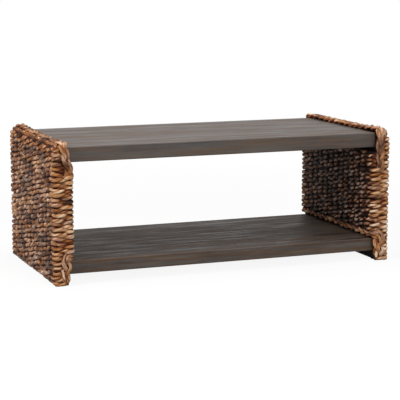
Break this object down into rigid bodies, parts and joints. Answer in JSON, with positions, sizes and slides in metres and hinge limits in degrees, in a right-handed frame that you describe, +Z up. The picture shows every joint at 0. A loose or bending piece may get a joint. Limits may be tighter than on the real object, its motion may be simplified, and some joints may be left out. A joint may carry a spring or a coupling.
{
  "type": "coffee table",
  "caption": "Rectangular coffee table: a thick wood top and a lower shelf held between slab end panels wrapped in woven rope, with plaited trims along their edges.",
  "frame": {"origin": "centre of the table's footprint, on the floor", "axes": "+X along the boards towards the right-hand panel, the front faces -Y, +Z up"},
  "size_m": [1.22, 0.587, 0.4708],
  "materials": {
    "board_wood": "grey-brown stained and wire-brushed, low sheen",
    "core_wood": "stained near black, matt",
    "stake_cane": "bare cane",
    "woven_rope": "twisted plant-fibre rope in mixed tan, gold, brown and purple-brown",
    "plaited_rope": "plaited plant-fibre strands, golden tan",
    "screw_steel": "zinc-plated",
    "glide_plastic": "dark moulded"
  },
  "bodies": {
    "root": {"top_board": "board_wood", "lower_board": "board_wood", "left_front_post": "core_wood", "left_rear_post": "core_wood", "left_top_rail": "core_wood", "left_middle_rail": "core_wood", "left_bottom_rail": "core_wood", "left_front_glide": "glide_plastic", "left_rear_glide": "glide_plastic", "left_outer_stakes": "stake_cane", "left_inner_stakes": "stake_cane", "left_outer_weave": "woven_rope", "left_inner_weave": "woven_rope", "left_front_edge_weave": "woven_rope", "left_rear_edge_weave": "woven_rope", "left_top_braid": "plaited_rope", "left_lower_braid": "plaited_rope", "left_top_bearer": "core_wood", "left_lower_bearer": "core_wood", "left_front_top_board_screw": "screw_steel", "left_rear_top_board_screw": "screw_steel", "left_front_top_rail_screw": "screw_steel", "left_rear_top_rail_screw": "screw_steel", "left_front_lower_board_screw": "screw_steel", "left_rear_lower_board_screw": "screw_steel", "left_front_lower_rail_screw": "screw_steel", "left_rear_lower_rail_screw": "screw_steel", "right_front_post": "core_wood", "right_rear_post": "core_wood", "right_top_rail": "core_wood", "right_middle_rail": "core_wood", "right_bottom_rail": "core_wood", "right_front_glide": "glide_plastic", "right_rear_glide": "glide_plastic", "right_outer_stakes": "stake_cane", "right_inner_stakes": "stake_cane", "right_outer_weave": "woven_rope", "right_inner_weave": "woven_rope", "right_front_edge_weave": "woven_rope", "right_rear_edge_weave": "woven_rope", "right_top_braid": "plaited_rope", "right_lower_braid": "plaited_rope", "right_top_bearer": "core_wood", "right_lower_bearer": "core_wood", "right_front_top_board_screw": "screw_steel", "right_rear_top_board_screw": "screw_steel", "right_front_top_rail_screw": "screw_steel", "right_rear_top_rail_screw": "screw_steel", "right_front_lower_board_screw": "screw_steel", "right_rear_lower_board_screw": "screw_steel", "right_front_lower_rail_screw": "screw_steel", "right_rear_lower_rail_screw": "screw_steel"}
  },
  "joints": []
}
